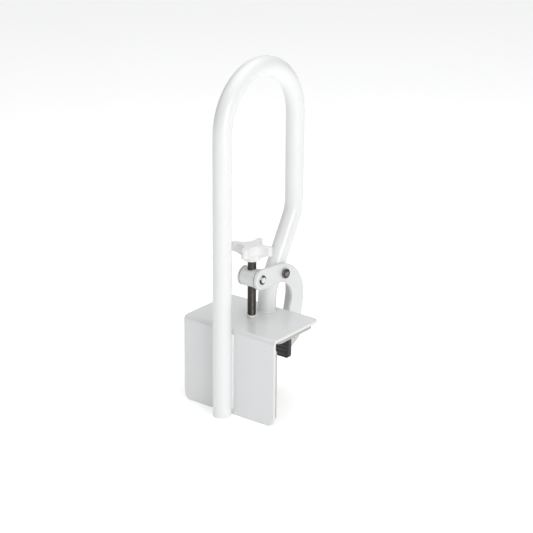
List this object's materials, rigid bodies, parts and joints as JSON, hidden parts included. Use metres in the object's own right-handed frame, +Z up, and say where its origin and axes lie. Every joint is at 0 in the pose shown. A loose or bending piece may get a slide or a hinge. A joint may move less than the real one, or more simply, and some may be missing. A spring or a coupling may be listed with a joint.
{
  "type": "clamp-on bathtub grab bar",
  "caption": "Bent-tube bathtub grab rail on a folded rim bracket, with a screw-driven clamp lever that presses a hinged rubber jaw pad on the tub's inner wall.",
  "frame": {"origin": "in the rail loop's plane at the bracket's outer corner: on the room-side face of the front plate (Y = 0) and on the top face of the top plate (Z = 0)", "axes": "+X along the tub rim, +Y across the tub wall from the room into the bath, +Z up"},
  "size_m": [0.154, 0.1835, 0.484],
  "materials": {
    "bracket_coat": "glossy white powder coat",
    "tube_coat": "glossy white powder coat",
    "lever_coat": "satin white powder coat",
    "plug_plastic": "moulded, satin",
    "liner_rubber": "soft closed foam rubber, matte",
    "zinc_steel": "zinc plated",
    "dark_steel": "blackened, oiled",
    "nylon": "natural nylon",
    "pad_rubber": "ribbed, matte",
    "knob_plastic": "moulded, semi-gloss"
  },
  "bodies": {
    "root": {"bracket_plate": "bracket_coat", "grab_tube": "tube_coat", "leg_end_plug": "plug_plastic", "front_leg_welds": "tube_coat", "rear_leg_weld": "tube_coat", "outer_wall_liner": "liner_rubber", "rim_liner": "liner_rubber", "pivot_bush": "zinc_steel", "pivot_stud": "dark_steel", "pivot_nut": "dark_steel", "lever_spacer": "nylon"},
    "lever": {"lever_plate": "lever_coat", "jaw_strap": "lever_coat", "jaw_boss": "lever_coat", "jaw_welds": "lever_coat"},
    "jaw_pad": {"pad_carrier": "zinc_steel", "pad_rubber": "pad_rubber", "pad_pin": "zinc_steel", "pad_pin_clip": "dark_steel"},
    "trunnion": {"trunnion_barrel": "lever_coat", "trunnion_washer": "nylon", "retaining_clip": "dark_steel"},
    "foot": {"thrust_foot": "nylon"},
    "screw": {"clamp_screw": "dark_steel", "star_knob": "knob_plastic", "knob_insert": "zinc_steel"}
  },
  "joints": [
    {"name": "lever_swing", "type": "hinge", "parent": "root", "child": "lever", "pos_m": [0, 0.1006, 0.0532], "axis": [1, 0, 0], "range_deg": [-11.1, 34.1]},
    {"name": "barrel_tilt", "type": "hinge", "parent": "lever", "child": "trunnion", "pos_m": [0, 0.0515, 0.0576], "axis": [1, 0, 0], "range_deg": [-34.1, 11.1]},
    {"name": "foot_feed", "type": "slide", "parent": "trunnion", "child": "foot", "axis": [0, 0, 1], "range_m": [-0.0094, 0.0289]},
    {"name": "knob_turn", "type": "hinge", "parent": "foot", "child": "screw", "pos_m": [0, 0.0515, 0], "axis": [0, 0, 1], "range_deg": [-1890, 5850]},
    {"name": "jaw_pad_tilt", "type": "hinge", "parent": "lever", "child": "jaw_pad", "pos_m": [0, 0.1259, -0.04487], "axis": [1, 0, 0], "range_deg": [-10, 10]}
  ],
  "couplings": [
    {"joint": "lever_swing", "follows": "knob_turn", "ratio": 0.0057427},
    {"joint": "barrel_tilt", "follows": "knob_turn", "ratio": -0.0057427},
    {"joint": "foot_feed", "follows": "knob_turn", "m_per_rad": 0.00027852}
  ]
}
